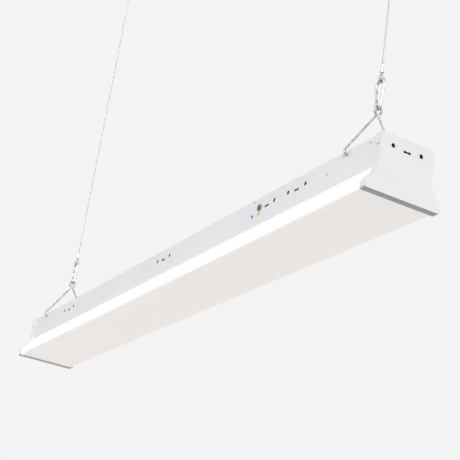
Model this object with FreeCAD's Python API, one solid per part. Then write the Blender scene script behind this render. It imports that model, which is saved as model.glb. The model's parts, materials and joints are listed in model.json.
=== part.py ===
import FreeCAD, Part
import math
import os

# Hanging shop light, four feet long, level on two ceiling cables.
# Frame, in millimetres: origin on the ceiling, midway between the two ceiling plates, +Z up,
# +X along the light towards its inlet end, Y across it.

Vector = FreeCAD.Vector
ALONG = Vector(1, 0, 0)
ACROSS = Vector(0, 1, 0)
UP = Vector(0, 0, 1)

# ---------------------------------------------------------------- driving dimensions

# Housing, cap and lens outline
LENGTH = 1219.2
TOP_WIDTH = 84.0
BOTTOM_WIDTH = 117.2
HEIGHT = 84.0
SHOULDER_DROP = 45.0        # top to where the sides start to flare
FLARE_ANGLE = 40.0          # flare from the vertical, degrees
SHOULDER_RADIUS = 22.0      # hollow bend at the top of the flare
LIP_RADIUS = 8.0            # round bend above the upright lip
CAP_TOP_RADIUS = 2.5
CAP_FOOT_RADIUS = 3.0

# Suspension
SUSPENSION_DROP = 840.0     # ceiling to the top of the light
HANGER_SPACING = 1066.8

# Sheet metal and mouldings
CHANNEL_SHEET = 0.8
CHANNEL_BEND = 1.6          # outside bend radius
CHANNEL_RETURN = 18.0       # width of the inward return under each side
TRAY_SHEET = 0.8
CAP_FACE = 1.6
CAP_RIM = 1.3
CAP_RIM_DEPTH = 10.5
LENS_WALL = 1.5
LENS_LIP = 5.0
LENS_FOOT_RADIUS = 5.0

# Clearances
CAP_FIT = 0.2               # rim to channel and lens, all round
END_GAP = 0.3               # cap face to channel, lens and tray ends
LIP_FIT = 0.3               # above the lens lip, which rests on the tray's edge
LIP_SIDE_FIT = 0.3          # lens lip to the tray's step
WIRE_GAP = 0.3              # between two wires that hang in each other
HOLE_FIT = 0.5              # hanger foot in its hole, on the radius
SEAT_GAP = 0.02             # hanger foot under the top of its hole
PIN_FIT = 0.05              # gate on its pin, on the radius
SCREW_FIT = 0.1             # screw shank in a clearance hole, on the radius

# Punched pattern: two round holes with a two-lobed slot between them
PATTERN_HOLE = 6.4
PATTERN_PITCH = 44.4
PATTERN_DROP = 18.5         # hole centres below the top, in the side walls
PATTERN_SLOT_STEP = 2.6     # slot centre below the hole centres
PATTERN_STATION = 412.5     # outer groups from the middle
SERVICE_STATION = 333.0     # group beside the inlet, in the near wall alone
SERVICE_PITCH = 40.0
CAP_PATTERN_DROP = 15.2
SLOT_LENGTH = 12.0
SLOT_LOBE = 4.2
SLOT_WAIST = 2.6
PILOT_HOLE = 3.0
PILOTS = ((585.0, 9.0), (488.0, 22.5), (295.5, 6.0))    # station, drop below the top

# Cap screws
CAP_SCREW_INSET = 5.4       # from the outside of the cap's face
CAP_SCREW_DROP = 15.0
CAP_SCREW_SHANK = 3.5
CAP_SCREW_HEAD = 6.0
CAP_SCREW_HEAD_HEIGHT = 1.4
CAP_SCREW_LENGTH = 6.5

# V hangers
HANGER_WIRE = 3.2
HANGER_LOOP_RADIUS = 6.0    # wire centre line
HANGER_LOOP_HEIGHT = 72.5   # loop centre above the top
HANGER_NECK_RADIUS = 3.0
HANGER_NECK_GAP = 0.6
HANGER_FOOT_DROP = 8.5      # hole centre below the top
HANGER_FOOT_STAND = 8.5     # foot bend outside the wall
HANGER_FOOT_BEND = 4.0
HANGER_FOOT_REACH = 5.0     # foot past the inside of the wall

# Snap hooks
HOOK_WIRE = 4.6
HOOK_LENGTH = 50.0
HOOK_WIDTH = 23.0
HOOK_NECK_WIDTH = 15.0
HOOK_NOSE = 5.0             # stub of the gate side left above the gate
HOOK_STUB = 5.0             # stub left below the gate
TONGUE_THICKNESS = 1.8
TONGUE_WIDTH = 3.2
TONGUE_LENGTH = 4.4
GATE_DIAMETER = 4.4
GATE_GAP = 0.4
GATE_SLOT = 2.4
GATE_SLOT_DEPTH = 5.6
GATE_PIN = 1.6
GATE_END_RADIUS = 2.25

# Cables
CABLE = 2.4
CABLE_LOOP_RADIUS = 4.2
CABLE_NECK_RADIUS = 8.0
CABLE_NECK_GAP = 0.2
CABLE_NECK_STRAIGHT = 2.4
FERRULE_DIAMETER = 6.0
FERRULE_LENGTH = 12.0
FERRULE_EDGE = 0.8

# Ceiling plates and links
PLATE_WIDTH = 24.0
PLATE_LENGTH = 52.0
PLATE_THICKNESS = 2.5
PLATE_CORNER = 5.0
PLATE_HOLE = 4.5
PLATE_HOLE_SPACING = 36.0
EYE_WIRE = 4.0
EYE_RADIUS = 7.0            # wire centre line
EYE_LEG = 6.0
LINK_WIRE = 3.6
LINK_RADIUS = 7.0
LINK_STRAIGHT = 8.0

# Light boards
BOARD_ROW_OFFSET = 15.0     # each row from the centre line
BOARD_WIDTH = 16.0
BOARD_THICKNESS = 1.2
BOARD_END_GAP = 26.0        # board from the tray's end
PACKAGE_SIZE = 3.0
PACKAGE_HEIGHT = 0.7
PACKAGE_PITCH = 24.0
BOARD_SCREW_HEAD = 5.0
BOARD_SCREW_HEAD_HEIGHT = 1.2
BOARD_SCREW_SHANK = 2.5
BOARD_SCREW_PITCHES = 6     # package pitches from one board screw to the next

# Tray
TRAY_JOGGLE_RUN = 1.5
TRAY_EDGE_INSET = 1.2       # tray edge from the inside of the lens wall
TRAY_SCREW_INSET = 4.9      # from the inner edge of the channel's return
TRAY_SCREW_SHANK = 3.0
TRAY_SCREW_HEAD = 5.6
TRAY_SCREW_HEAD_HEIGHT = 1.6
TRAY_SCREW_LENGTH = 7.0
TRAY_SCREW_STATIONS = (-560.0, -190.0, 190.0, 560.0)

# Driver and wiring
DRIVER_LENGTH = 210.0
DRIVER_WIDTH = 34.0
DRIVER_HEIGHT = 24.0
DRIVER_EDGE = 1.5
DRIVER_STATION = 110.0
DRIVER_FOOT = 12.0
DRIVER_FOOT_SHEET = 1.0
DRIVER_SCREW_SHANK = 3.0
DRIVER_SCREW_HEAD = 6.0
DRIVER_SCREW_HEAD_HEIGHT = 1.6
TERMINAL_STATION = 262.0
TERMINAL_LENGTH = 30.0
TERMINAL_WIDTH = 20.0
TERMINAL_HEIGHT = 14.0
TERMINAL_PITCH = 9.0
TERMINAL_WELL = 4.0
TERMINAL_WELL_DEPTH = 4.0
TERMINAL_GROOVE = 1.2
TERMINAL_GROOVE_DEPTH = 2.0
GROUND_STATION = 380.0
GROUND_SCREW_SHANK = 4.0
GROUND_SCREW_HEAD = 8.0
GROUND_SCREW_HEAD_HEIGHT = 2.2
LEAD = 2.0
LEAD_BEND = 6.0
LEAD_TIGHT_BEND = 3.0
LEAD_HOLE = 7.0
LEAD_HOLE_STATION = -26.0
LEAD_DIP = 5.0              # board leads below the boards before they turn up
BUSHING_FLANGE = 10.5
BUSHING_FLANGE_HEIGHT = 1.6
BUSHING_BORE = 4.0
BUSHING_LENGTH = 9.0

# Coloured markers on the side wall
MARKER_THICKNESS = 0.5
MARKER_DROP = 28.0
BLUE_MARKER_STATION = 294.0
BLUE_MARKER_DIAMETER = 5.0
YELLOW_MARKER_STATION = 313.0
YELLOW_MARKER_LENGTH = 11.0
YELLOW_MARKER_WIDTH = 4.5

# ---------------------------------------------------------------- places worked out from them

TOP = -SUSPENSION_DROP
FOOT = TOP - HEIGHT
HALF = LENGTH / 2
SHELL_INSET = CAP_RIM + CAP_FIT
INNER_HALF = HALF - CAP_FACE - END_GAP
WALL_OUT = TOP_WIDTH / 2 - SHELL_INSET
WALL_IN = WALL_OUT - CHANNEL_SHEET
CHANNEL_TOP = TOP - SHELL_INSET
CEILING_SHEET = CHANNEL_TOP - CHANNEL_SHEET
RETURN_FOOT = TOP - SHOULDER_DROP - CHANNEL_SHEET
RETURN_EDGE = WALL_OUT - CHANNEL_RETURN
LENS_LIP_TOP = RETURN_FOOT - LIP_FIT
TRAY_TOP = RETURN_FOOT
TRAY_FOOT = TRAY_TOP - TRAY_SHEET
TRAY_STEP = LENS_WALL + LIP_FIT
LENS_IN = WALL_OUT - LENS_WALL
LIP_EDGE = LENS_IN - LENS_LIP
TRAY_BEND = LIP_EDGE - LIP_SIDE_FIT
HANGER_X = HANGER_SPACING / 2

HANGER_FOOT_Z = TOP - HANGER_FOOT_DROP + HOLE_FIT - SEAT_GAP
HANGER_LOOP_Z = TOP + HANGER_LOOP_HEIGHT
HOOK_FOOT_Z = (HANGER_LOOP_Z + HANGER_LOOP_RADIUS
               - HANGER_WIRE / 2 - WIRE_GAP - HOOK_WIRE / 2)
HOOK_TOP_RADIUS = (HOOK_WIDTH - HOOK_WIRE) / 2
HOOK_FOOT_RADIUS = (HOOK_NECK_WIDTH - HOOK_WIRE) / 2
HOOK_TOP_Z = HOOK_FOOT_Z + HOOK_LENGTH - HOOK_WIRE
LOWER_LOOP_Z = HOOK_TOP_Z - HOOK_WIRE / 2 - WIRE_GAP - CABLE / 2
EYE_Z = -PLATE_THICKNESS - EYE_LEG - EYE_RADIUS
LINK_TOP_Z = EYE_Z + EYE_WIRE / 2 + WIRE_GAP + LINK_WIRE / 2
LINK_FOOT_Z = LINK_TOP_Z - LINK_STRAIGHT - 2 * LINK_RADIUS
UPPER_LOOP_Z = LINK_FOOT_Z + LINK_WIRE / 2 + WIRE_GAP + CABLE / 2

SIDES = (("left", -1), ("right", 1))

# ---------------------------------------------------------------- helpers


def save(name, shape):
    """Write one sub-part to parts/NAME.step."""
    shape.exportStep("parts/" + name + ".step")


def box(x0, x1, y0, y1, z0, z1):
    return Part.makeBox(x1 - x0, y1 - y0, z1 - z0, Vector(x0, y0, z0))


def rod(diameter, start, axis, length):
    return Part.makeCylinder(diameter / 2, length, start, axis)


def polar(centre, radius, angle):
    """Point of a circle in a plane, as a pair, at an angle in radians."""
    return (centre[0] + radius * math.cos(angle), centre[1] + radius * math.sin(angle))


def arc(place, centre, radius, start, end):
    """Arc edge from one angle to another; place() turns a plane pair into a 3-D point."""
    pairs = [polar(centre, radius, a) for a in (start, (start + end) / 2, end)]
    return Part.Arc(*[place(p) for p in pairs]).toShape()


def line(place, start, end):
    return Part.LineSegment(place(start), place(end)).toShape()


def across(x):
    """Plane pairs (y, z) at one station along the light."""
    return lambda p: Vector(x, p[0], p[1])


def along(x, z=0.0):
    """Plane pairs (x, z) on the centre line, from a local zero."""
    return lambda p: Vector(x + p[0], 0, z + p[1])


def sweep(edges, diameter):
    """Round wire along edges that run on from each other."""
    first = edges[0]
    start = first.valueAt(first.FirstParameter)
    tangent = first.tangentAt(first.FirstParameter)
    path = Part.Wire(edges)
    circle = Part.Wire(Part.makeCircle(diameter / 2, start, tangent))
    return path.makePipeShell([circle], True, False)


def route(points, radius, diameter):
    """Round lead through points, with one bend radius at every corner."""
    edges = []
    start = points[0]
    for corner, after in zip(points[1:-1], points[2:]):
        into = (corner - start).normalize()
        out = (after - corner).normalize()
        turn = into.getAngle(out)
        reach = radius * math.tan(turn / 2)
        first = corner - into * reach
        last = corner + out * reach
        inward = (out - into).normalize()
        middle = corner + inward * radius * (1 / math.cos(turn / 2) - 1)
        edges.append(Part.LineSegment(start, first).toShape())
        edges.append(Part.Arc(first, middle, last).toShape())
        start = last
    edges.append(Part.LineSegment(start, points[-1]).toShape())
    return sweep(edges, diameter)


def fillet_along_x(solid, radius, chosen):
    """Round the edges that run along X and whose middle passes the test chosen(y, z)."""
    edges = []
    for edge in solid.Edges:
        ends = [v.Point for v in edge.Vertexes]
        if len(ends) == 2 and abs(ends[0].y - ends[1].y) + abs(ends[0].z - ends[1].z) < 1e-6:
            if chosen(ends[0].y, ends[0].z):
                edges.append(edge)
    return solid.makeFillet(radius, edges)


def mirror_y(shape):
    return shape.mirror(Vector(0, 0, 0), ACROSS)


def mirror_x(shape):
    return shape.mirror(Vector(0, 0, 0), ALONG)


def pan_screw(seat, axis, shank, head, head_height, length):
    """Pan-head screw: the head stands on seat against axis, the shank runs along axis."""
    head_solid = Part.makeCylinder(head / 2, head_height, seat - axis * head_height, axis)
    crown = [e for e in head_solid.Edges
             if e.Curve.TypeId == "Part::GeomCircle"
             and (e.Curve.Center - (seat - axis * head_height)).Length < 1e-6]
    head_solid = head_solid.makeFillet(head_height * 0.5, crown)
    return head_solid.fuse(Part.makeCylinder(shank / 2, length, seat, axis))


# ---------------------------------------------------------------- the bell outline

FLARE = math.radians(FLARE_ANGLE)


def flare_run():
    """Length of the straight between the two bends of the flare."""
    bends = (SHOULDER_RADIUS + LIP_RADIUS) * (1 - math.cos(FLARE))
    return ((BOTTOM_WIDTH - TOP_WIDTH) / 2 - bends) / math.sin(FLARE)


def bell_half(inset, top_radius, foot_radius):
    """Edges of the outline's +Y half at X = 0, moved in by inset."""
    place = across(0.0)
    wall = TOP_WIDTH / 2 - inset
    lip = BOTTOM_WIDTH / 2 - inset
    top = TOP - inset
    foot = FOOT + inset
    shoulder = TOP - SHOULDER_DROP
    hollow = (TOP_WIDTH / 2 + SHOULDER_RADIUS, shoulder)
    drop = (SHOULDER_RADIUS + LIP_RADIUS) * math.sin(FLARE) + flare_run() * math.cos(FLARE)
    round_ = (BOTTOM_WIDTH / 2 - LIP_RADIUS, shoulder - drop)
    hollow_r = SHOULDER_RADIUS + inset
    round_r = LIP_RADIUS - inset
    top_c = (wall - top_radius, top - top_radius)
    foot_c = (lip - foot_radius, foot + foot_radius)
    return [
        line(place, (0, top), (top_c[0], top)),
        arc(place, top_c, top_radius, math.pi / 2, 0),
        line(place, (wall, top_c[1]), (wall, shoulder)),
        arc(place, hollow, hollow_r, math.pi, math.pi + FLARE),
        line(place, polar(hollow, hollow_r, math.pi + FLARE), polar(round_, round_r, FLARE)),
        arc(place, round_, round_r, FLARE, 0),
        line(place, (lip, round_[1]), (lip, foot_c[1])),
        arc(place, foot_c, foot_radius, 0, -math.pi / 2),
        line(place, (foot_c[0], foot), (0, foot)),
    ]


def bell_prism(x0, x1, inset, top_radius, foot_radius):
    half = bell_half(inset, top_radius, foot_radius)
    edges = half + [mirror_y(e) for e in half]
    wire = Part.Wire(Part.__sortEdges__(edges))
    face = Part.Face(wire)
    face.translate(Vector(x0, 0, 0))
    return face.extrude(Vector(x1 - x0, 0, 0))


# ---------------------------------------------------------------- punched pattern


def slot_cutter(centre, run, axis, depth):
    """Two-lobed slot: run is the slot's long direction, axis goes through the wall."""
    reach = (SLOT_LENGTH - SLOT_LOBE) / 2
    base = centre - axis * (depth / 2)
    lobes = [rod(SLOT_LOBE, base + run * s, axis, depth) for s in (-reach, reach)]
    rise = axis.cross(run)
    corner = base - run * reach - rise * (SLOT_WAIST / 2)
    waist = Part.Face(Part.makePolygon([
        corner, corner + run * 2 * reach, corner + run * 2 * reach + rise * SLOT_WAIST,
        corner + rise * SLOT_WAIST, corner])).extrude(axis * depth)
    return lobes[0].fuse([lobes[1], waist])


def pattern_cutter(centre, run, axis, depth, pitch):
    """Hole - slot - hole; centre lies on the line through the holes."""
    base = centre - axis * (depth / 2)
    holes = [rod(PATTERN_HOLE, base + run * s, axis, depth) for s in (-pitch / 2, pitch / 2)]
    slot = slot_cutter(centre - Vector(0, 0, PATTERN_SLOT_STEP), run, axis, depth)
    return holes[0].fuse([holes[1], slot])


# ---------------------------------------------------------------- housing


def housing_channel():
    """Inverted U of sheet with inward returns, punched for all that goes through it."""
    outer = box(-INNER_HALF, INNER_HALF, -WALL_OUT, WALL_OUT, RETURN_FOOT, CHANNEL_TOP)
    outer = fillet_along_x(outer, CHANNEL_BEND, lambda y, z: z > CHANNEL_TOP - 1)
    room = box(-HALF, HALF, -WALL_IN, WALL_IN, RETURN_FOOT + CHANNEL_SHEET, CEILING_SHEET)
    room = fillet_along_x(room, CHANNEL_BEND - CHANNEL_SHEET, lambda y, z: z > CEILING_SHEET - 1)
    mouth = box(-HALF, HALF, -RETURN_EDGE, RETURN_EDGE, RETURN_FOOT - 1, RETURN_FOOT + 1)
    shell = outer.cut([room, mouth])

    run = ALONG
    through = ACROSS
    full = TOP_WIDTH + 2
    deep = 6 * CHANNEL_SHEET
    holes = []
    for x in (-PATTERN_STATION, 0.0, PATTERN_STATION):
        centre = Vector(x, 0, TOP - PATTERN_DROP)
        holes.append(pattern_cutter(centre, run, through, full, PATTERN_PITCH))
    service = Vector(SERVICE_STATION, -WALL_OUT, TOP - PATTERN_DROP)
    holes.append(pattern_cutter(service, run, through, deep, SERVICE_PITCH))
    for x, drop in PILOTS:
        holes.append(rod(PILOT_HOLE, Vector(x, -WALL_OUT - deep / 2, TOP - drop), through, deep))
    foot_hole = HANGER_WIRE + 2 * HOLE_FIT
    for side, sign in SIDES:
        start = Vector(sign * HANGER_X, -full / 2, TOP - HANGER_FOOT_DROP)
        holes.append(rod(foot_hole, start, through, full))
        start = Vector(sign * (HALF - CAP_SCREW_INSET), -full / 2, TOP - CAP_SCREW_DROP)
        holes.append(rod(CAP_SCREW_SHANK, start, through, full))
    for x, y in tray_screw_places():
        start = Vector(x, y, RETURN_FOOT - deep / 2)
        holes.append(rod(TRAY_SCREW_SHANK, start, UP, deep))
    for x in driver_screw_stations():
        start = Vector(x, 0, CEILING_SHEET - deep / 2)
        holes.append(rod(DRIVER_SCREW_SHANK, start, UP, deep))
    start = Vector(GROUND_STATION, 0, CEILING_SHEET - deep / 2)
    holes.append(rod(GROUND_SCREW_SHANK, start, UP, deep))
    return shell.cut(holes)


def tray_screw_places():
    y = RETURN_EDGE + TRAY_SCREW_INSET
    return [(x, side * y) for x in TRAY_SCREW_STATIONS for _, side in SIDES]


def driver_screw_stations():
    reach = DRIVER_LENGTH / 2 + DRIVER_FOOT / 2
    return (DRIVER_STATION - reach, DRIVER_STATION + reach)


def end_cap():
    """Right cap: a pan with a pressed rim that slips over the channel and the lens."""
    outside = bell_prism(HALF - CAP_FACE - CAP_RIM_DEPTH, HALF, 0.0, CAP_TOP_RADIUS, CAP_FOOT_RADIUS)
    inside = bell_prism(HALF - CAP_FACE - CAP_RIM_DEPTH - 1, HALF - CAP_FACE, CAP_RIM,
                        CAP_TOP_RADIUS - CAP_RIM / 2, CAP_FOOT_RADIUS - CAP_RIM / 2)
    cap = outside.cut(inside)
    centre = Vector(HALF - CAP_FACE / 2, 0, TOP - CAP_PATTERN_DROP)
    holes = [pattern_cutter(centre, ACROSS, ALONG, 4 * CAP_FACE, PATTERN_PITCH)]
    start = Vector(HALF - CAP_SCREW_INSET, -TOP_WIDTH, TOP - CAP_SCREW_DROP)
    holes.append(rod(CAP_SCREW_SHANK + 2 * SCREW_FIT, start, ACROSS, 2 * TOP_WIDTH))
    return cap.cut(holes)


def cap_screws():
    """The right cap's two screws, one in each side."""
    near = pan_screw(Vector(HALF - CAP_SCREW_INSET, -TOP_WIDTH / 2, TOP - CAP_SCREW_DROP),
                     ACROSS, CAP_SCREW_SHANK, CAP_SCREW_HEAD, CAP_SCREW_HEAD_HEIGHT,
                     CAP_SCREW_LENGTH)
    return Part.makeCompound([near, mirror_y(near)])


def lens():
    """Frosted trough: upright lips, flared sides and a flat foot, open at the top."""
    skin = bell_prism(-INNER_HALF, INNER_HALF, SHELL_INSET, CHANNEL_BEND, LENS_FOOT_RADIUS)
    core = bell_prism(-HALF, HALF, SHELL_INSET + LENS_WALL, CHANNEL_BEND,
                      LENS_FOOT_RADIUS - LENS_WALL)
    above = box(-HALF, HALF, -BOTTOM_WIDTH, BOTTOM_WIDTH, LENS_LIP_TOP, TOP + 1)
    trough = skin.cut([core, above])
    lips = [box(-INNER_HALF, INNER_HALF, y0, y1, LENS_LIP_TOP - LENS_WALL, LENS_LIP_TOP)
            for y0, y1 in ((LIP_EDGE, LENS_IN + LENS_WALL / 2),
                           (-LENS_IN - LENS_WALL / 2, -LIP_EDGE))]
    return trough.fuse(lips).removeSplitter()


def gear_tray():
    """Pan under the channel; its stepped edges leave a groove for the lens lips."""
    edge = LENS_IN - TRAY_EDGE_INSET
    outline = [(TRAY_BEND - TRAY_JOGGLE_RUN, TRAY_TOP), (TRAY_BEND, TRAY_TOP - TRAY_STEP),
               (edge, TRAY_TOP - TRAY_STEP), (edge, TRAY_FOOT - TRAY_STEP),
               (TRAY_BEND - TRAY_SHEET / 2, TRAY_FOOT - TRAY_STEP),
               (TRAY_BEND - TRAY_JOGGLE_RUN - TRAY_SHEET / 2, TRAY_FOOT)]
    pairs = outline + [(-y, z) for y, z in reversed(outline)]
    place = across(-INNER_HALF)
    points = [place(p) for p in pairs + pairs[:1]]
    tray = Part.Face(Part.makePolygon(points)).extrude(Vector(2 * INNER_HALF, 0, 0))
    deep = TRAY_SHEET + 2
    holes = []
    for x, y in tray_screw_places():
        holes.append(rod(TRAY_SCREW_SHANK + 2 * SCREW_FIT, Vector(x, y, TRAY_FOOT - 1), UP, deep))
    for x in board_screw_stations():
        for _, y in ROWS:
            holes.append(rod(BOARD_SCREW_SHANK, Vector(x, y, TRAY_FOOT - 1), UP, deep))
    holes.append(rod(LEAD_HOLE, Vector(LEAD_HOLE_STATION, 0, TRAY_FOOT - 1), UP, deep))
    return tray.cut(holes)


def tray_screws():
    return Part.makeCompound([
        pan_screw(Vector(x, y, TRAY_FOOT), UP, TRAY_SCREW_SHANK, TRAY_SCREW_HEAD,
                  TRAY_SCREW_HEAD_HEIGHT, TRAY_SCREW_LENGTH) for x, y in tray_screw_places()])


# ---------------------------------------------------------------- light boards


ROWS = (("front", -BOARD_ROW_OFFSET), ("rear", BOARD_ROW_OFFSET))
BOARD_HALF = INNER_HALF - BOARD_END_GAP
BOARD_FOOT = TRAY_FOOT - BOARD_THICKNESS


def board_screw_stations():
    """Screws midway between packages, evenly spaced both ways from the middle."""
    step = BOARD_SCREW_PITCHES * PACKAGE_PITCH
    count = int((BOARD_HALF - BOARD_SCREW_HEAD) / step)
    return [i * step for i in range(-count, count + 1)]


def light_board(y):
    board = box(-BOARD_HALF, BOARD_HALF, y - BOARD_WIDTH / 2, y + BOARD_WIDTH / 2, BOARD_FOOT, TRAY_FOOT)
    return board.cut([rod(BOARD_SCREW_SHANK + 2 * SCREW_FIT, Vector(x, y, BOARD_FOOT - 1), UP,
                          BOARD_THICKNESS + 2) for x in board_screw_stations()])


def led_packages(y):
    """LED packages under one board, half a pitch clear of its screws."""
    pairs = int((BOARD_HALF - PACKAGE_SIZE / 2) / PACKAGE_PITCH + 0.5)
    half = PACKAGE_SIZE / 2
    places = [(i + 0.5) * PACKAGE_PITCH for i in range(-pairs, pairs)]
    return Part.makeCompound([box(x - half, x + half, y - half, y + half,
                                  BOARD_FOOT - PACKAGE_HEIGHT, BOARD_FOOT) for x in places])


def board_screws():
    length = BOARD_THICKNESS + TRAY_SHEET + BOARD_SCREW_SHANK / 2
    return Part.makeCompound([
        pan_screw(Vector(x, y, BOARD_FOOT), UP, BOARD_SCREW_SHANK, BOARD_SCREW_HEAD,
                  BOARD_SCREW_HEAD_HEIGHT, length) for x in board_screw_stations() for _, y in ROWS])


# ---------------------------------------------------------------- driver and wiring


def driver():
    """Folded metal case with a screw foot at each end, hung from the channel's top."""
    top = CEILING_SHEET
    x0 = DRIVER_STATION - DRIVER_LENGTH / 2
    x1 = DRIVER_STATION + DRIVER_LENGTH / 2
    case = box(x0, x1, -DRIVER_WIDTH / 2, DRIVER_WIDTH / 2, top - DRIVER_HEIGHT, top)
    case = fillet_along_x(case, DRIVER_EDGE, lambda y, z: z < top - 1)
    feet = box(x0 - DRIVER_FOOT, x1 + DRIVER_FOOT, -DRIVER_WIDTH / 3, DRIVER_WIDTH / 3,
               top - DRIVER_FOOT_SHEET, top)
    holes = [rod(DRIVER_SCREW_SHANK + 2 * SCREW_FIT, Vector(x, 0, top + 1), Vector(0, 0, -1), 4)
             for x in driver_screw_stations()]
    return case.fuse(feet).cut(holes)


def driver_screws():
    seat = CEILING_SHEET - DRIVER_FOOT_SHEET
    length = DRIVER_FOOT_SHEET + CHANNEL_SHEET
    return Part.makeCompound([
        pan_screw(Vector(x, 0, seat), UP, DRIVER_SCREW_SHANK, DRIVER_SCREW_HEAD,
                  DRIVER_SCREW_HEAD_HEIGHT, length) for x in driver_screw_stations()])


def terminal_ports():
    """The three ports of the terminal block, as y places."""
    return (-TERMINAL_PITCH, 0.0, TERMINAL_PITCH)


def terminal_block():
    """Three-way block under the channel's top, screw wells facing down."""
    x0 = TERMINAL_STATION - TERMINAL_WIDTH / 2
    x1 = TERMINAL_STATION + TERMINAL_WIDTH / 2
    base = CEILING_SHEET - TERMINAL_HEIGHT
    block = box(x0, x1, -TERMINAL_LENGTH / 2, TERMINAL_LENGTH / 2, base, CEILING_SHEET)
    wells = [rod(TERMINAL_WELL, Vector(TERMINAL_STATION, y, base - 1), UP, TERMINAL_WELL_DEPTH + 1)
             for y in terminal_ports()]
    half = TERMINAL_GROOVE / 2
    grooves = [box(x0 - 1, x1 + 1, y - half, y + half, base - 1, base + TERMINAL_GROOVE_DEPTH)
               for y in (-TERMINAL_PITCH / 2, TERMINAL_PITCH / 2)]
    return block.cut(wells + grooves)


def terminal_z():
    return CEILING_SHEET - TERMINAL_HEIGHT / 2


def ground_screw():
    """Screw up into the channel's top, its head holding the ground lead's end."""
    return pan_screw(Vector(GROUND_STATION, 0, CEILING_SHEET - LEAD), UP, GROUND_SCREW_SHANK,
                     GROUND_SCREW_HEAD, GROUND_SCREW_HEAD_HEIGHT, LEAD + CHANNEL_SHEET)


def supply_lead(port):
    """Straight lead from a port of the terminal block to the driver's end."""
    x0 = DRIVER_STATION + DRIVER_LENGTH / 2
    x1 = TERMINAL_STATION - TERMINAL_WIDTH / 2
    return rod(LEAD, Vector(x0, port, terminal_z()), ALONG, x1 - x0)


def ground_lead():
    """Lead from the block's third port along to the ground screw."""
    start = Vector(TERMINAL_STATION + TERMINAL_WIDTH / 2, terminal_ports()[2], terminal_z())
    end = Vector(GROUND_STATION - GROUND_SCREW_SHANK / 2 - SCREW_FIT, 0, CEILING_SHEET - LEAD / 2)
    run = ALONG * (3 * LEAD_BEND)
    return route([start, start + run, end - run, end], LEAD_BEND, LEAD)


def board_lead(sign):
    """Lead from the driver's end, down through the tray and up to one board's underside."""
    start = Vector(DRIVER_STATION - DRIVER_LENGTH / 2, sign * LEAD_HOLE / 4,
                   CEILING_SHEET - DRIVER_HEIGHT / 2)
    drop = Vector(LEAD_HOLE_STATION, start.y, start.z)
    low = Vector(LEAD_HOLE_STATION, start.y, BOARD_FOOT - LEAD_DIP)
    under = Vector(LEAD_HOLE_STATION, sign * (BOARD_ROW_OFFSET - PACKAGE_SIZE), low.z)
    pad = Vector(LEAD_HOLE_STATION, under.y, BOARD_FOOT)
    return route([start, drop, low, under, pad], LEAD_TIGHT_BEND, LEAD)


def inlet_bushing():
    """Snap bushing that lines the ringed hole in the near side wall."""
    x = SERVICE_STATION - SERVICE_PITCH / 2
    z = TOP - PATTERN_DROP
    flange = rod(BUSHING_FLANGE, Vector(x, -WALL_OUT - BUSHING_FLANGE_HEIGHT, z), ACROSS,
                 BUSHING_FLANGE_HEIGHT)
    rim = [e for e in flange.Edges if e.Curve.TypeId == "Part::GeomCircle"
           and abs(e.Curve.Center.y + WALL_OUT + BUSHING_FLANGE_HEIGHT) < 1e-6]
    flange = flange.makeFillet(BUSHING_FLANGE_HEIGHT * 0.45, rim)
    neck = rod(PATTERN_HOLE - 2 * SCREW_FIT, Vector(x, -WALL_OUT, z), ACROSS, BUSHING_LENGTH)
    bore = rod(BUSHING_BORE, Vector(x, -TOP_WIDTH, z), ACROSS, TOP_WIDTH)
    return flange.fuse(neck).cut(bore)


def marker(station, length, width):
    """Flat marker with round ends, stuck on the near side wall."""
    z = TOP - MARKER_DROP
    y = -WALL_OUT - MARKER_THICKNESS
    reach = (length - width) / 2
    shape = rod(width, Vector(station - reach, y, z), ACROSS, MARKER_THICKNESS)
    if reach > 0:
        bar = box(station - reach, station + reach, y, y + MARKER_THICKNESS,
                  z - width / 2, z + width / 2)
        other = rod(width, Vector(station + reach, y, z), ACROSS, MARKER_THICKNESS)
        shape = shape.fuse([bar, other]).removeSplitter()
    return shape


# ---------------------------------------------------------------- wire forms


def neck_centre(loop_radius, neck_radius, half_gap):
    """Centre of the neck bend beside a loop centred on (0, 0), neck below the loop."""
    y = half_gap + neck_radius
    return (y, -math.sqrt((loop_radius + neck_radius) ** 2 - y ** 2))


def tangent_angle(centre, radius, point):
    """Angle of the point of a circle, on its lower inner side, whose tangent runs to point."""
    dy, dz = point[0] - centre[0], point[1] - centre[1]
    return math.atan2(dz, dy) - math.acos(radius / math.hypot(dy, dz))


def v_hanger(x):
    """Bent wire astride the housing: hooked feet, straight legs, a necked loop on top."""
    place = across(x)
    loop = (0.0, HANGER_LOOP_Z)
    dy, dz = neck_centre(HANGER_LOOP_RADIUS, HANGER_NECK_RADIUS, (HANGER_WIRE + HANGER_NECK_GAP) / 2)
    neck = (dy, HANGER_LOOP_Z + dz)
    corner = (WALL_OUT + HANGER_FOOT_STAND, HANGER_FOOT_Z)
    meet = math.atan2(dz, dy)
    leave = tangent_angle(neck, HANGER_NECK_RADIUS, corner)
    start = polar(neck, HANGER_NECK_RADIUS, leave)
    slope = math.atan2(corner[1] - start[1], corner[0] - start[0])
    reach = HANGER_FOOT_BEND * math.tan((math.pi + slope) / 2)
    bend_from = (corner[0] - reach * math.cos(slope), corner[1] - reach * math.sin(slope))
    bend_c = (corner[0] - reach, corner[1] + HANGER_FOOT_BEND)
    tip = (WALL_IN - HANGER_FOOT_REACH, corner[1])
    right = [
        arc(place, loop, HANGER_LOOP_RADIUS, math.pi / 2, meet),
        arc(place, neck, HANGER_NECK_RADIUS, meet + math.pi, leave + 2 * math.pi),
        line(place, start, bend_from),
        arc(place, bend_c, HANGER_FOOT_BEND, slope + math.pi / 2, -math.pi / 2),
        line(place, (bend_c[0], corner[1]), tip),
    ]
    half = sweep(right, HANGER_WIRE)
    return half.fuse(mirror_y(half)).removeSplitter()


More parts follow.
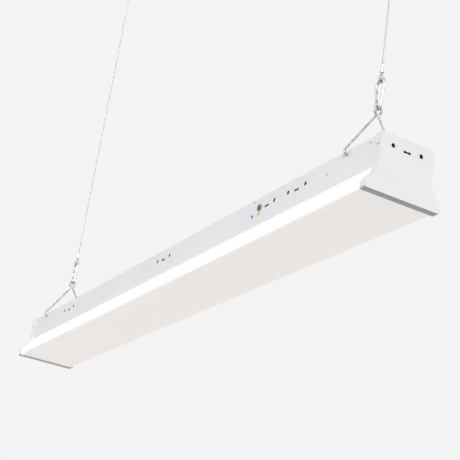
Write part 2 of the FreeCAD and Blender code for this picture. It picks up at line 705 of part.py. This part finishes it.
def cable_loop(place, sign):
    """Cable end loop round (0, 0); sign +1 puts its neck above the loop, -1 below."""
    half_gap = (CABLE + CABLE_NECK_GAP) / 2
    dy, dz = neck_centre(CABLE_LOOP_RADIUS, CABLE_NECK_RADIUS, half_gap)
    meet = math.atan2(-dz, dy)
    end = (half_gap, -dz + CABLE_NECK_STRAIGHT)

    def turned(pair):
        return place((pair[0], sign * pair[1]))

    right = [
        arc(turned, (0, 0), CABLE_LOOP_RADIUS, -math.pi / 2, meet),
        arc(turned, (dy, -dz), CABLE_NECK_RADIUS, meet - math.pi, -math.pi),
        line(turned, (half_gap, -dz), end),
    ]
    return sweep(right, CABLE)


def loop_reach():
    """From the loop's wire centre at its crown to the ferrule's face."""
    half_gap = (CABLE + CABLE_NECK_GAP) / 2
    dz = neck_centre(CABLE_LOOP_RADIUS, CABLE_NECK_RADIUS, half_gap)[1]
    return CABLE_LOOP_RADIUS - dz + CABLE_NECK_STRAIGHT


def ferrule(x, z0):
    sleeve = rod(FERRULE_DIAMETER, Vector(x, 0, z0), UP, FERRULE_LENGTH)
    rims = [e for e in sleeve.Edges if e.Curve.TypeId == "Part::GeomCircle"]
    return sleeve.makeFillet(FERRULE_EDGE, rims)


def upper_cable_loop(x):
    """Loop in the XZ plane, hung in the ceiling link."""
    centre = UPPER_LOOP_Z - CABLE_LOOP_RADIUS
    half = cable_loop(along(x, centre), -1)
    other = half.mirror(Vector(x, 0, 0), ALONG)
    return half.fuse(other).removeSplitter()


def lower_cable_loop(x):
    """Loop in the YZ plane, carrying the snap hook."""
    centre = LOWER_LOOP_Z + CABLE_LOOP_RADIUS
    half = cable_loop(lambda p: Vector(x, p[0], centre + p[1]), 1)
    return half.fuse(mirror_y(half)).removeSplitter()


def upper_ferrule_top():
    return UPPER_LOOP_Z - loop_reach()


def lower_ferrule_foot():
    return LOWER_LOOP_Z + loop_reach()


def cable(x):
    """The free run of cable between its two ferrules, hanging straight."""
    z0 = lower_ferrule_foot() + FERRULE_LENGTH
    z1 = upper_ferrule_top() - FERRULE_LENGTH
    return rod(CABLE, Vector(x, 0, z0), UP, z1 - z0)


# ---------------------------------------------------------------- snap hooks


def hook_centres():
    return (HOOK_TOP_Z - HOOK_TOP_RADIUS, HOOK_FOOT_Z + HOOK_FOOT_RADIUS)


def hook_lean():
    """Angle of the hook's straight sides from the vertical."""
    top, foot = hook_centres()
    return math.asin((HOOK_TOP_RADIUS - HOOK_FOOT_RADIUS) / (top - foot))


def gate_line():
    """Upper and lower tangent points of the gate side, as (x, z) from the hook's axis."""
    top, foot = hook_centres()
    angle = math.pi + hook_lean()
    return polar((0, top), HOOK_TOP_RADIUS, angle), polar((0, foot), HOOK_FOOT_RADIUS, angle)


def gate_span():
    upper, lower = gate_line()
    return math.hypot(upper[0] - lower[0], upper[1] - lower[1])


def on_gate_line(shape, x):
    """Move a shape built upright from (0, 0, 0) onto the gate side's line."""
    lower = gate_line()[1]
    shape.rotate(Vector(0, 0, 0), ACROSS, -math.degrees(hook_lean()))
    shape.translate(Vector(x + lower[0], 0, lower[1]))
    return shape


def tongue(z0, z1):
    half = TONGUE_WIDTH / 2
    return box(-half, half, -TONGUE_THICKNESS / 2, TONGUE_THICKNESS / 2, z0, z1)


def pin_height():
    """Gate pin above the lower tangent point: the gate's round end clears the stub."""
    return HOOK_STUB + GATE_GAP + GATE_END_RADIUS


def pin_cutter(radius):
    return rod(2 * radius, Vector(0, -HOOK_WIRE, pin_height()), ACROSS, 2 * HOOK_WIRE)


def snap_hook(x):
    """Pear-shaped wire hook, wide end up; the gate side is open between nose and stub."""
    top, foot = hook_centres()
    lean = hook_lean()
    place = along(x)
    upper, lower = gate_line()
    axis = ((upper[0] - lower[0]) / gate_span(), (upper[1] - lower[1]) / gate_span())
    nose = (upper[0] - axis[0] * HOOK_NOSE, upper[1] - axis[1] * HOOK_NOSE)
    stub = (lower[0] + axis[0] * HOOK_STUB, lower[1] + axis[1] * HOOK_STUB)
    edges = [
        line(place, nose, upper),
        arc(place, (0, top), HOOK_TOP_RADIUS, math.pi + lean, -lean),
        line(place, polar((0, top), HOOK_TOP_RADIUS, -lean), polar((0, foot), HOOK_FOOT_RADIUS, -lean)),
        arc(place, (0, foot), HOOK_FOOT_RADIUS, -lean, -math.pi + lean),
        line(place, lower, stub),
    ]
    body = sweep(edges, HOOK_WIRE)
    base = tongue(HOOK_STUB - 1, pin_height() + TONGUE_WIDTH / 2)
    base = base.cut(pin_cutter(GATE_PIN / 2))
    shoulder = gate_span() - HOOK_NOSE
    catch = tongue(shoulder - TONGUE_LENGTH, shoulder + 1)
    return body.fuse([on_gate_line(base, x), on_gate_line(catch, x)])


def snap_gate(x):
    """Round bar with a fork at each end: one turns on the pin, one straddles the nose."""
    low = pin_height() - GATE_END_RADIUS
    high = gate_span() - HOOK_NOSE - GATE_GAP
    bar = rod(GATE_DIAMETER, Vector(0, 0, low), UP, high - low)
    heel = rod(2 * GATE_END_RADIUS, Vector(0, -HOOK_WIRE, pin_height()), ACROSS, 2 * HOOK_WIRE)
    above = box(-HOOK_WIRE, HOOK_WIRE, -HOOK_WIRE, HOOK_WIRE, pin_height(), high)
    bar = bar.common(heel.fuse(above))
    half = GATE_SLOT / 2
    forks = [box(-HOOK_WIRE, HOOK_WIRE, -half, half, low - 1, low + GATE_SLOT_DEPTH),
             box(-HOOK_WIRE, HOOK_WIRE, -half, half, high - GATE_SLOT_DEPTH, high + 1)]
    gate = bar.cut(forks + [pin_cutter(GATE_PIN / 2 + PIN_FIT)])
    return on_gate_line(gate, x)


def gate_pin(x):
    pin = rod(GATE_PIN, Vector(0, -GATE_DIAMETER / 2, pin_height()), ACROSS, GATE_DIAMETER)
    return on_gate_line(pin, x)


# ---------------------------------------------------------------- ceiling hardware


def ceiling_plate(x):
    """Screw plate with a wire eye under it; two holes in line across the light."""
    plate = box(x - PLATE_WIDTH / 2, x + PLATE_WIDTH / 2, -PLATE_LENGTH / 2, PLATE_LENGTH / 2,
                -PLATE_THICKNESS, 0)
    corners = [e for e in plate.Edges if abs(e.tangentAt(e.FirstParameter).z) > 0.9]
    plate = plate.makeFillet(PLATE_CORNER, corners)
    holes = [rod(PLATE_HOLE, Vector(x, y, -PLATE_THICKNESS - 1), UP, PLATE_THICKNESS + 2)
             for y in (-PLATE_HOLE_SPACING / 2, PLATE_HOLE_SPACING / 2)]
    place = along(x)
    top = -PLATE_THICKNESS
    centre = (0, EYE_Z + EYE_RADIUS)
    eye = sweep([line(place, (-EYE_RADIUS, top), (-EYE_RADIUS, centre[1])),
                 arc(place, centre, EYE_RADIUS, math.pi, 3 * math.pi / 2),
                 arc(place, centre, EYE_RADIUS, 3 * math.pi / 2, 2 * math.pi),
                 line(place, (EYE_RADIUS, centre[1]), (EYE_RADIUS, top))], EYE_WIRE)
    return plate.cut(holes).fuse(eye)


def ceiling_link(x):
    """Oval welded link in the YZ plane, hung in the plate's eye."""
    place = across(x)
    top = (0, LINK_TOP_Z - LINK_RADIUS)
    foot = (0, LINK_FOOT_Z + LINK_RADIUS)
    half = sweep([line(place, (LINK_RADIUS, (top[1] + foot[1]) / 2), (LINK_RADIUS, top[1])),
                  arc(place, top, LINK_RADIUS, 0, math.pi / 2),
                  arc(place, top, LINK_RADIUS, math.pi / 2, math.pi),
                  line(place, (-LINK_RADIUS, top[1]), (-LINK_RADIUS, (top[1] + foot[1]) / 2))],
                 LINK_WIRE)
    middle = Vector(x, 0, (top[1] + foot[1]) / 2)
    return half.fuse(half.mirror(middle, UP)).removeSplitter()


# ---------------------------------------------------------------- build


def build():
    os.makedirs("parts", exist_ok=True)
    save("housing_channel", housing_channel())
    save("gear_tray", gear_tray())
    save("lens", lens())
    cap, screws = end_cap(), cap_screws()
    save("end_cap_right", cap)
    save("end_cap_left", mirror_x(cap))
    save("cap_screws_right", screws)
    save("cap_screws_left", mirror_x(screws))
    save("tray_screws", tray_screws())
    for row, y in ROWS:
        save("light_board_" + row, light_board(y))
        save("led_packages_" + row, led_packages(y))
    save("board_screws", board_screws())
    save("driver", driver())
    save("driver_screws", driver_screws())
    save("terminal_block", terminal_block())
    save("ground_screw", ground_screw())
    save("live_lead", supply_lead(terminal_ports()[0]))
    save("neutral_lead", supply_lead(terminal_ports()[1]))
    save("ground_lead", ground_lead())
    save("front_board_lead", board_lead(-1))
    save("rear_board_lead", board_lead(1))
    save("inlet_bushing", inlet_bushing())
    save("blue_marker", marker(BLUE_MARKER_STATION, BLUE_MARKER_DIAMETER, BLUE_MARKER_DIAMETER))
    save("yellow_marker", marker(YELLOW_MARKER_STATION, YELLOW_MARKER_LENGTH, YELLOW_MARKER_WIDTH))
    for side, sign in SIDES:
        x = sign * HANGER_X
        save("v_hanger_" + side, v_hanger(x))
        save("snap_hook_" + side, snap_hook(x))
        save("snap_gate_" + side, snap_gate(x))
        save("gate_pin_" + side, gate_pin(x))
        save("cable_" + side, cable(x))
        save("upper_cable_loop_" + side, upper_cable_loop(x))
        save("lower_cable_loop_" + side, lower_cable_loop(x))
        save("upper_ferrule_" + side, ferrule(x, upper_ferrule_top() - FERRULE_LENGTH))
        save("lower_ferrule_" + side, ferrule(x, lower_ferrule_foot()))
        save("ceiling_link_" + side, ceiling_link(x))
        save("ceiling_plate_" + side, ceiling_plate(x))


build()
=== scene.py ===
"""Looks of the hanging shop light: camera, cables, finishes and studio.

Everything is in metres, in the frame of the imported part: the origin is on the ceiling midway
between the two ceiling plates, +Z up, +X along the light towards its inlet end.
"""
import json
import math

import bpy
from mathutils import Matrix, Vector


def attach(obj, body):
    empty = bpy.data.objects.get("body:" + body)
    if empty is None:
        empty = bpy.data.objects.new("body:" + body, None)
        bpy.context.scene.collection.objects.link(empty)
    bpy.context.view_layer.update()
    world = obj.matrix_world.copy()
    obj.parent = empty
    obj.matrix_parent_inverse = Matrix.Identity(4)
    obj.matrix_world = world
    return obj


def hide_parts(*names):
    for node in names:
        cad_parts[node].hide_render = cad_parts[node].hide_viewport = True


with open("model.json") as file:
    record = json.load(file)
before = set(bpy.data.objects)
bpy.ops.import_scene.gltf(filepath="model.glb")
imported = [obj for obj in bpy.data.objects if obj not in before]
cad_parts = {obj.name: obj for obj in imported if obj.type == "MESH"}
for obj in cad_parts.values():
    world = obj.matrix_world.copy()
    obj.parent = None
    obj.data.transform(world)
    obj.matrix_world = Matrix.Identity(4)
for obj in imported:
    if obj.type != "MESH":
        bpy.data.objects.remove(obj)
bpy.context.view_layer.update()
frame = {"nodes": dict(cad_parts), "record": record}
nodes = frame["nodes"]

SIDES = (("left", -1), ("right", 1))

# ---------------------------------------------------------------- camera

CAMERA_PLACE = Vector((1.7360, -0.8034, -1.5354))
CAMERA_RIGHT = Vector((0.494628, 0.858356, 0.136267))
CAMERA_UP = Vector((0.257117, -0.294293, 0.920479))
CAMERA_BACK = Vector((0.830201, -0.420258, -0.366264))
FOCAL_LENGTH_PX = 1200.14
IMAGE_PX = 460
SENSOR = 36.0


def make_camera():
    data = bpy.data.cameras.new("camera")
    data.sensor_width = SENSOR
    data.lens = FOCAL_LENGTH_PX * SENSOR / IMAGE_PX
    camera = bpy.data.objects.new("camera", data)
    turn = Matrix((CAMERA_RIGHT, CAMERA_UP, CAMERA_BACK)).transposed().to_4x4()
    camera.matrix_world = Matrix.Translation(CAMERA_PLACE) @ turn
    bpy.context.scene.collection.objects.link(camera)
    bpy.context.scene.camera = camera


make_camera()

# ---------------------------------------------------------------- cables

HANGER_X = 0.5334
CABLE = 0.0024
CABLE_FOOT = -0.697604
CABLE_TOP = -0.056596
CABLE_END_RUN = 6 * CABLE
CABLE_SEGMENTS = 5


def make_cable(side, sign):
    """Straight loaded cable between its two ferrules, declared with what carries it."""
    heights = (CABLE_FOOT, CABLE_FOOT + CABLE_END_RUN, CABLE_TOP - CABLE_END_RUN, CABLE_TOP)
    curve = bpy.data.curves.new("steel_cable_" + side, "CURVE")
    curve.dimensions = "3D"
    spline = curve.splines.new("NURBS")
    spline.points.add(len(heights) - 1)
    for point, z in zip(spline.points, heights):
        point.co = (sign * HANGER_X, 0, z, 1)
    spline.order_u = 3
    spline.use_endpoint_u = True
    curve.bevel_depth = CABLE / 2
    curve.bevel_resolution = CABLE_SEGMENTS
    cable = bpy.data.objects.new("steel_cable_" + side, curve)
    bpy.context.scene.collection.objects.link(cable)
    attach(cable, side + " line")
    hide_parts("cable_" + side)
    return cable


cables = [make_cable(side, sign) for side, sign in SIDES]

# ---------------------------------------------------------------- finishes

RAMP_LOW = 0.3
RAMP_HIGH = 0.7


class Finish:
    """One procedural material, grown socket by socket from its shader."""

    def __init__(self, name, colour, roughness, metallic=0.0):
        self.material = bpy.data.materials.new(name)
        self.material.use_nodes = True
        self.tree = self.material.node_tree
        self.shader = self.tree.nodes["Principled BSDF"]
        self.shader.inputs["Metallic"].default_value = metallic
        self.shader.inputs["Roughness"].default_value = roughness
        self.shader.inputs["Base Color"].default_value = (*colour, 1)
        self.place = self.node("ShaderNodeTexCoord").outputs["Object"]
        self.height = None

    def node(self, kind, **values):
        made = self.tree.nodes.new(kind)
        for key, value in values.items():
            setattr(made, key, value)
        return made

    def link(self, out, into):
        self.tree.links.new(out, into)

    def math(self, operation, *terms):
        made = self.node("ShaderNodeMath", operation=operation)
        for socket, term in zip(made.inputs, terms):
            if isinstance(term, (int, float)):
                socket.default_value = term
            else:
                self.link(term, socket)
        return made.outputs[0]

    def stretched(self, scale):
        made = self.node("ShaderNodeMapping")
        made.inputs["Scale"].default_value = scale
        self.link(self.place, made.inputs["Vector"])
        return made.outputs["Vector"]

    def noise(self, scale, detail=3.0, stretch=None):
        made = self.node("ShaderNodeTexNoise")
        made.inputs["Scale"].default_value = scale
        made.inputs["Detail"].default_value = detail
        self.link(self.stretched(stretch) if stretch else self.place, made.inputs["Vector"])
        return made.outputs[0]

    def cells(self, scale):
        made = self.node("ShaderNodeTexVoronoi")
        made.inputs["Scale"].default_value = scale
        self.link(self.place, made.inputs["Vector"])
        return made.outputs["Color"]

    def axes(self):
        made = self.node("ShaderNodeSeparateXYZ")
        self.link(self.place, made.inputs[0])
        return made.outputs

    def blend(self, factor, low, high):
        """Colour that runs from low to high over the middle of the factor's range."""
        ramp = self.node("ShaderNodeValToRGB")
        ramp.color_ramp.elements[0].position = RAMP_LOW
        ramp.color_ramp.elements[1].position = RAMP_HIGH
        ramp.color_ramp.elements[0].color = (*low, 1)
        ramp.color_ramp.elements[1].color = (*high, 1)
        self.link(factor, ramp.inputs[0])
        return ramp.outputs[0]

    def colour(self, factor, low, high):
        self.link(self.blend(factor, low, high), self.shader.inputs["Base Color"])
        return self

    def rough(self, factor, low, high):
        made = self.node("ShaderNodeMapRange")
        made.inputs["To Min"].default_value = low
        made.inputs["To Max"].default_value = high
        self.link(factor, made.inputs["Value"])
        self.link(made.outputs[0], self.shader.inputs["Roughness"])
        return self

    def bump(self, height, distance, strength=0.5):
        made = self.node("ShaderNodeBump")
        made.inputs["Distance"].default_value = distance
        made.inputs["Strength"].default_value = strength
        self.link(height, made.inputs["Height"])
        if self.height:
            self.link(self.height, made.inputs["Normal"])
        self.height = made.outputs[0]
        self.link(self.height, self.shader.inputs["Normal"])
        return self

    def set(self, **values):
        for key, value in values.items():
            self.shader.inputs[key.replace("_", " ")].default_value = value
        return self


def white_enamel():
    """Sprayed gloss enamel: faint orange peel, dust in broad soft patches."""
    paint = Finish("white_enamel", (0.80, 0.81, 0.82), 0.34)
    paint.colour(paint.noise(7.0, 4.0), (0.765, 0.775, 0.785), (0.815, 0.82, 0.825))
    paint.rough(paint.noise(18.0, 4.0), 0.27, 0.42)
    paint.bump(paint.noise(650.0, 2.0), 0.00006, 0.35)
    return paint.set(Coat_Weight=0.25, Coat_Roughness=0.18).material


def reflector_white():
    """Smoother, whiter paint on the gear tray."""
    paint = Finish("reflector_white", (0.84, 0.84, 0.83), 0.3)
    paint.colour(paint.noise(12.0), (0.81, 0.81, 0.80), (0.86, 0.86, 0.85))
    paint.bump(paint.noise(500.0, 2.0), 0.00005, 0.3)
    return paint.material


GLOW_FOOT = 0.5
GLOW_TOP = 0.12
LENS_FOOT_Z = -0.924
LENS_TOP_Z = -0.886


def frosted_lens():
    """Milky moulded plastic with a fine sand-blasted face, lit softly from inside."""
    milk = Finish("frosted_lens", (0.86, 0.87, 0.88), 0.45)
    milk.colour(milk.noise(9.0), (0.84, 0.85, 0.86), (0.88, 0.885, 0.89))
    milk.rough(milk.noise(160.0), 0.38, 0.55)
    milk.bump(milk.noise(1600.0, 2.0), 0.00004, 0.4)
    glow = milk.node("ShaderNodeMapRange")
    for socket, value in (("From Min", LENS_FOOT_Z), ("From Max", LENS_TOP_Z),
                          ("To Min", GLOW_FOOT), ("To Max", GLOW_TOP)):
        glow.inputs[socket].default_value = value
    milk.link(milk.axes()[2], glow.inputs["Value"])
    milk.link(glow.outputs[0], milk.shader.inputs["Emission Strength"])
    milk.set(Subsurface_Weight=0.25, Subsurface_Scale=0.004)
    return milk.set(Emission_Color=(1.0, 0.985, 0.96, 1)).material


def spangled(name, dark, light, roughness):
    """Zinc: crystals a few millimetres across, dulled unevenly, with fine scratches."""
    zinc = Finish(name, light, roughness, 1.0)
    zinc.colour(zinc.cells(420.0), dark, light)
    zinc.rough(zinc.noise(300.0), roughness - 0.08, roughness + 0.12)
    zinc.bump(zinc.noise(1500.0, 3.0, (1, 1, 0.15)), 0.00005, 0.3)
    return zinc.material


def plated(name, dark, light, roughness):
    """Bright plating with handling marks and a drawn grain."""
    plate = Finish(name, light, roughness, 1.0)
    plate.colour(plate.noise(260.0, 5.0), dark, light)
    plate.rough(plate.noise(700.0), roughness - 0.06, roughness + 0.14)
    plate.bump(plate.noise(2600.0, 2.0), 0.00003, 0.3)
    return plate.material


STRANDS = 6
STRAND_LAY = 0.014


def cable_steel():
    """Twisted strands: a helical wave about each cable's own axis, with painted shade in the
    grooves between the strands.
    """
    wire = Finish("cable_steel", (0.5, 0.51, 0.52), 0.36, 1.0)
    x, y, z = wire.axes()
    radial = wire.math("SUBTRACT", wire.math("ABSOLUTE", x), HANGER_X)
    turn = wire.math("ARCTAN2", y, radial)
    climb = wire.math("MULTIPLY", z, 2 * math.pi / STRAND_LAY)
    wave = wire.math("SINE", wire.math("MULTIPLY", wire.math("ADD", turn, climb), STRANDS))
    ridge_height_and_shade = wire.math("MULTIPLY_ADD", wave, 0.5, 0.5)
    # painted shade: the grooves between the strands are coloured darker and the crests lighter
    wire.colour(ridge_height_and_shade, (0.26, 0.265, 0.27), (0.62, 0.63, 0.64))
    wire.rough(wire.noise(500.0), 0.28, 0.46)
    return wire.bump(ridge_height_and_shade, 0.00025, 0.8).material


def moulded(name, low, high, roughness=0.42):
    """Moulded plastic or insulation with a fine, even grain."""
    plastic = Finish(name, high, roughness)
    plastic.colour(plastic.noise(120.0), low, high)
    plastic.rough(plastic.noise(300.0), roughness - 0.08, roughness + 0.1)
    return plastic.bump(plastic.noise(2200.0, 2.0), 0.00003, 0.35).material


def around(colour, spread):
    return (tuple(max(0.0, c * (1 - spread)) for c in colour),
            tuple(min(1.0, c * (1 + spread)) for c in colour))


FINISHES = {
    "white_enamel": white_enamel(),
    "reflector_white": reflector_white(),
    "frosted_lens": frosted_lens(),
    "galvanised_wire": spangled("galvanised_wire", (0.30, 0.31, 0.32), (0.56, 0.57, 0.58), 0.44),
    "hook_steel": plated("hook_steel", (0.46, 0.47, 0.48), (0.66, 0.67, 0.68), 0.26),
    "cable_steel": cable_steel(),
    "ferrule_metal": plated("ferrule_metal", (0.52, 0.53, 0.54), (0.70, 0.71, 0.72), 0.34),
    "plate_zinc": spangled("plate_zinc", (0.44, 0.45, 0.46), (0.64, 0.65, 0.66), 0.36),
    "screw_zinc": plated("screw_zinc", (0.48, 0.49, 0.50), (0.68, 0.69, 0.70), 0.28),
    "board_white": moulded("board_white", *around((0.80, 0.80, 0.78), 0.03), 0.3),
    "package_phosphor": moulded("package_phosphor", *around((0.80, 0.66, 0.22), 0.06), 0.5),
    "driver_case": plated("driver_case", (0.50, 0.51, 0.52), (0.66, 0.67, 0.68), 0.42),
    "terminal_plastic": moulded("terminal_plastic", *around((0.70, 0.70, 0.66), 0.04)),
    "bushing_plastic": moulded("bushing_plastic", *around((0.13, 0.13, 0.135), 0.2)),
    "lead_black": moulded("lead_black", *around((0.02, 0.02, 0.02), 0.3)),
    "lead_white": moulded("lead_white", *around((0.78, 0.78, 0.76), 0.04)),
    "lead_green": moulded("lead_green", *around((0.03, 0.26, 0.07), 0.15)),
    "lead_red": moulded("lead_red", *around((0.50, 0.03, 0.03), 0.15)),
    "lead_blue": moulded("lead_blue", *around((0.03, 0.09, 0.42), 0.15)),
    "marker_blue": moulded("marker_blue", *around((0.02, 0.10, 0.55), 0.12), 0.35),
    "marker_yellow": moulded("marker_yellow", *around((0.80, 0.62, 0.08), 0.08), 0.35),
}


def paint_nodes():
    slots = {part["node"]: part["material_slot"] for part in frame["record"]["subparts"]}
    for name, obj in nodes.items():
        for slot in obj.material_slots:
            slot.material = FINISHES[slots[name]]


paint_nodes()
for cable in cables:
    cable.data.materials.append(FINISHES["cable_steel"])

# ---------------------------------------------------------------- studio

FLOOR_Z = -2.4
FLOOR_HALF = 12.0
PALE = (0.90, 0.90, 0.90, 1)
FLOOR_LIGHT = (0.35, 0.35, 0.35, 1)      # what the floor throws back on the object
FLOOR_SHOWN = (0.82, 0.82, 0.82, 1)      # what the eye sees of it
WORLD_STRENGTH = 0.5
WORLD_BELOW = 0.18


def seen_directly(tree):
    """1 where the camera, a reflection or a see-through surface looks at the backdrop."""
    path = tree.nodes.new("ShaderNodeLightPath")
    total = path.outputs["Is Camera Ray"]
    for name in ("Is Glossy Ray", "Is Transmission Ray"):
        add = tree.nodes.new("ShaderNodeMath")
        add.operation = "MAXIMUM"
        tree.links.new(total, add.inputs[0])
        tree.links.new(path.outputs[name], add.inputs[1])
        total = add.outputs[0]
    return total


def make_world():
    """Pale all round to the eye; the light it gives falls off towards the floor."""
    world = bpy.data.worlds.new("studio")
    bpy.context.scene.world = world
    world.use_nodes = True
    tree = world.node_tree
    tree.nodes.clear()
    out = tree.nodes.new("ShaderNodeOutputWorld")
    mix = tree.nodes.new("ShaderNodeMixShader")
    shown = tree.nodes.new("ShaderNodeBackground")
    shown.inputs["Color"].default_value = PALE
    light = tree.nodes.new("ShaderNodeBackground")
    light.inputs["Strength"].default_value = WORLD_STRENGTH
    place = tree.nodes.new("ShaderNodeTexCoord")
    split = tree.nodes.new("ShaderNodeSeparateXYZ")
    ramp = tree.nodes.new("ShaderNodeMapRange")
    ramp.inputs["From Min"].default_value = -1.0
    ramp.inputs["To Min"].default_value = WORLD_BELOW
    tree.links.new(place.outputs["Generated"], split.inputs[0])
    tree.links.new(split.outputs["Z"], ramp.inputs["Value"])
    tree.links.new(ramp.outputs[0], light.inputs["Color"])
    tree.links.new(seen_directly(tree), mix.inputs[0])
    tree.links.new(light.outputs[0], mix.inputs[1])
    tree.links.new(shown.outputs[0], mix.inputs[2])
    tree.links.new(mix.outputs[0], out.inputs[0])


def make_floor():
    mesh = bpy.data.meshes.new("floor")
    half = FLOOR_HALF
    corners = [(x * half, y * half, FLOOR_Z) for x, y in ((-1, -1), (1, -1), (1, 1), (-1, 1))]
    mesh.from_pydata(corners, [], [(0, 1, 2, 3)])
    floor = bpy.data.objects.new("floor", mesh)
    bpy.context.scene.collection.objects.link(floor)
    material = bpy.data.materials.new("floor")
    material.use_nodes = True
    tree = material.node_tree
    shader = tree.nodes["Principled BSDF"]
    shader.inputs["Roughness"].default_value = 0.9
    mix = tree.nodes.new("ShaderNodeMix")
    mix.data_type = "RGBA"
    mix.inputs["A"].default_value = FLOOR_LIGHT
    mix.inputs["B"].default_value = FLOOR_SHOWN
    tree.links.new(seen_directly(tree), mix.inputs["Factor"])
    tree.links.new(mix.outputs["Result"], shader.inputs["Base Color"])
    mesh.materials.append(material)


def make_lamp(name, towards_lamp, strength, angle):
    """Soft distant lamp, so the floor is lit evenly."""
    data = bpy.data.lights.new(name, "SUN")
    data.energy = strength
    data.angle = math.radians(angle)
    lamp = bpy.data.objects.new(name, data)
    lamp.rotation_euler = Vector(towards_lamp).to_track_quat("Z", "Y").to_euler()
    bpy.context.scene.collection.objects.link(lamp)


bpy.context.scene.view_settings.view_transform = "Standard"
make_world()
make_floor()
make_lamp("key", (0.8, -0.5, 0.25), 2.5, 30)
make_lamp("fill", (-0.5, -0.8, 0.3), 0.5, 60)
make_lamp("rim", (0.1, 0.9, 0.5), 0.6, 60)
bpy.context.view_layer.update()
